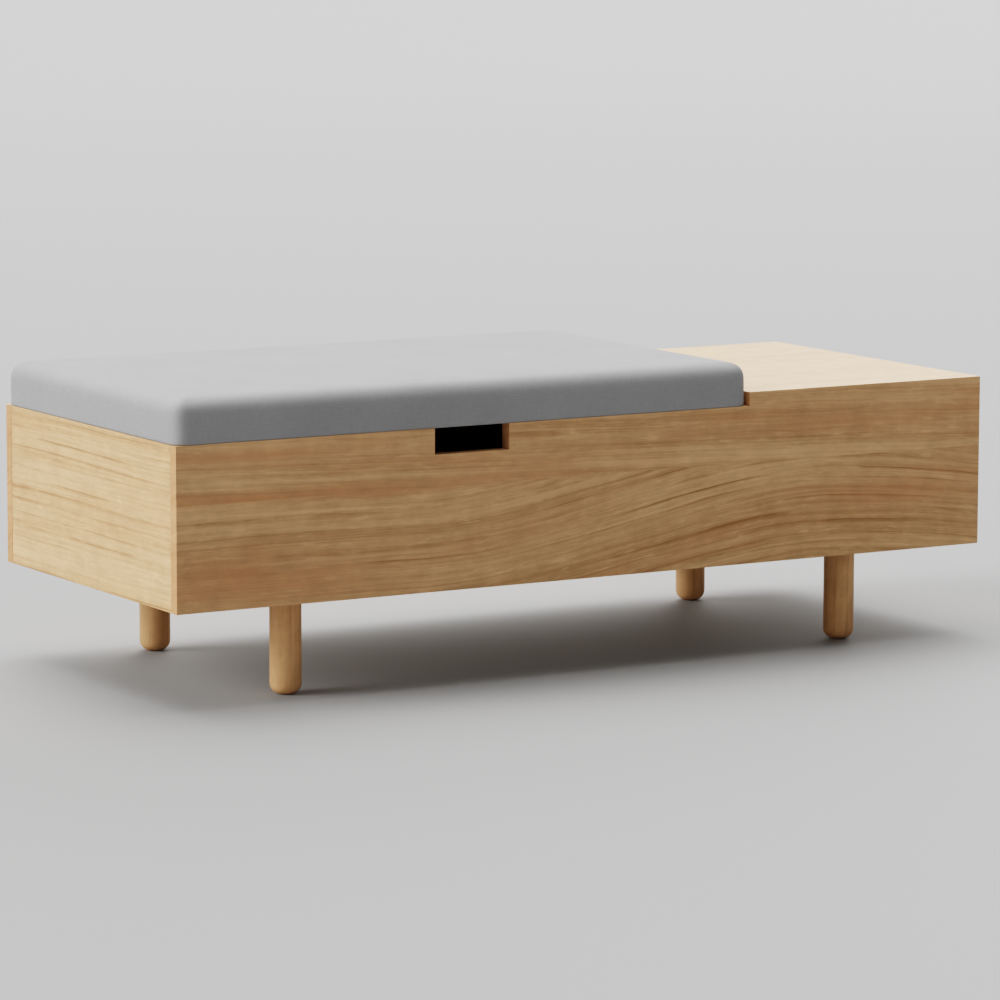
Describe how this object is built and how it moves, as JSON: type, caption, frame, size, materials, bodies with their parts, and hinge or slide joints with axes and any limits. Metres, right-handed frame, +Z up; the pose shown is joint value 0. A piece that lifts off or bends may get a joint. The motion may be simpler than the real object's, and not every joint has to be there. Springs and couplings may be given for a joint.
{
  "type": "storage ottoman bench",
  "caption": "Low wooden storage bench on round legs, with a padded lid that lifts on a rear hinge and a fixed side-table top at one end.",
  "frame": {"origin": "on the floor, under the middle of the case's length and depth", "axes": "+X along the length towards the table top, +Y from the notched front to the hinge, +Z up"},
  "size_m": [1.2, 0.4963, 0.389],
  "materials": {
    "panel_wood": "pale oak-like veneer, satin oil",
    "leg_wood": "turned solid wood, satin oil",
    "plywood": "plain birch plywood",
    "fabric": "plain grey woven upholstery",
    "foam": "open-cell foam",
    "lining": "black non-woven lining",
    "rubber": "soft translucent grey",
    "steel": "zinc plated"
  },
  "bodies": {
    "case": {"front_panel": "panel_wood", "back_panel": "panel_wood", "left_end_panel": "panel_wood", "right_end_panel": "panel_wood", "partition": "panel_wood", "bottom_panel": "plywood", "table_top": "panel_wood", "table_cleat_front": "panel_wood", "table_cleat_back": "panel_wood", "leg_front_left": "leg_wood", "leg_front_right": "leg_wood", "leg_back_left": "leg_wood", "leg_back_right": "leg_wood", "leg_plate_front_left": "steel", "leg_plate_front_right": "steel", "leg_plate_back_left": "steel", "leg_plate_back_right": "steel", "leg_stud_front_left": "steel", "leg_stud_front_right": "steel", "leg_stud_back_left": "steel", "leg_stud_back_right": "steel", "lid_bumper_front_left": "rubber", "lid_bumper_front_right": "rubber", "lid_bumper_left": "rubber", "lid_bumper_partition": "rubber", "hinge_leaf_case": "steel", "hinge_pin": "steel", "stay_left_case_bracket": "steel", "stay_left_case_rivet": "steel", "stay_right_case_bracket": "steel", "stay_right_case_rivet": "steel"},
    "lid": {"lid_board": "plywood", "foam_core": "foam", "seat_cover": "fabric", "dust_cover": "lining", "hinge_leaf_lid": "steel", "stay_left_lid_bracket": "steel", "stay_left_lid_rivet": "steel", "stay_right_lid_bracket": "steel", "stay_right_lid_rivet": "steel"},
    "stay_left_lower": {"stay_left_lower_arm": "steel", "stay_left_elbow_rivet": "steel"},
    "stay_left_upper": {"stay_left_upper_arm": "steel"},
    "stay_right_lower": {"stay_right_lower_arm": "steel", "stay_right_elbow_rivet": "steel"},
    "stay_right_upper": {"stay_right_upper_arm": "steel"}
  },
  "joints": [
    {"name": "lid_hinge", "type": "hinge", "parent": "case", "child": "lid", "pos_m": [-0.1843, 0.2483, 0.33], "axis": [-1, 0, 0], "range_deg": [0, 100]},
    {"name": "stay_left_case_pivot", "type": "hinge", "parent": "case", "child": "stay_left_lower", "pos_m": [-0.582, 0.2033, 0.215], "axis": [-1, 0, 0], "range_deg": [0, 100]},
    {"name": "stay_left_lid_pivot", "type": "hinge", "parent": "lid", "child": "stay_left_upper", "pos_m": [-0.582, 0.0983, 0.316], "axis": [-1, 0, 0], "range_deg": [-100, 0]},
    {"name": "stay_right_case_pivot", "type": "hinge", "parent": "case", "child": "stay_right_lower", "pos_m": [0.22, 0.2033, 0.215], "axis": [-1, 0, 0], "range_deg": [0, 100]},
    {"name": "stay_right_lid_pivot", "type": "hinge", "parent": "lid", "child": "stay_right_upper", "pos_m": [0.22, 0.0983, 0.316], "axis": [-1, 0, 0], "range_deg": [-100, 0]}
  ],
  "couplings": [
    {"joint": "stay_left_case_pivot", "follows": "lid_hinge", "ratio": 1},
    {"joint": "stay_left_lid_pivot", "follows": "lid_hinge", "ratio": -1},
    {"joint": "stay_right_case_pivot", "follows": "lid_hinge", "ratio": 1},
    {"joint": "stay_right_lid_pivot", "follows": "lid_hinge", "ratio": -1}
  ]
}
